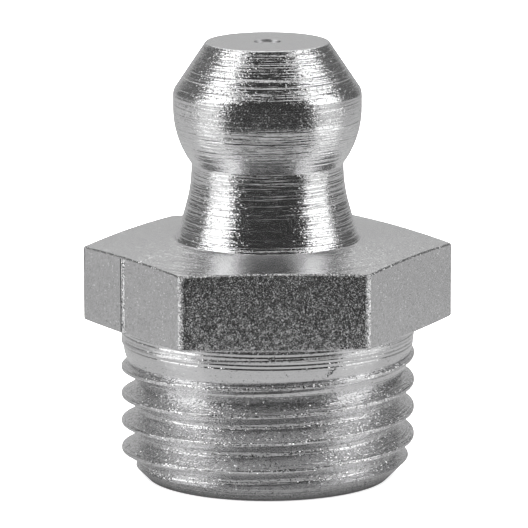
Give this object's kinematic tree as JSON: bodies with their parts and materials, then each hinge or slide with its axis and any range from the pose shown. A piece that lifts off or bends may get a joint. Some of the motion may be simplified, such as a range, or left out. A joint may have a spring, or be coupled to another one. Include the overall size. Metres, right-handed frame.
{
  "type": "grease nipple",
  "caption": "Straight hydraulic grease nipple: button head with a sprung ball check, flared neck, hexagon and parallel 1/8-27 thread, for feeding grease to a bearing.",
  "frame": {"origin": "the middle of the thread's end face, on the nipple's axis", "axes": "+Z along the axis from the thread's end up to the head; two flats of the hexagon face +Y and -Y, and two of its corners lie on +X and -X"},
  "size_m": [0.0126, 0.011, 0.015],
  "materials": {
    "plated_steel": "turned, bright zinc plated",
    "ball_steel": "ground",
    "spring_steel": "drawn wire"
  },
  "bodies": {
    "nipple": {"body": "plated_steel", "valve_spring": "spring_steel"},
    "ball": {"check_ball": "ball_steel"}
  },
  "joints": [
    {"name": "ball_travel", "type": "slide", "parent": "nipple", "child": "ball", "axis": [0, 0, -1], "range_m": [0, 0.002], "stiffness_N_per_m": 1420, "springref_m": -0.001, "deforming": ["valve_spring"]}
  ]
}
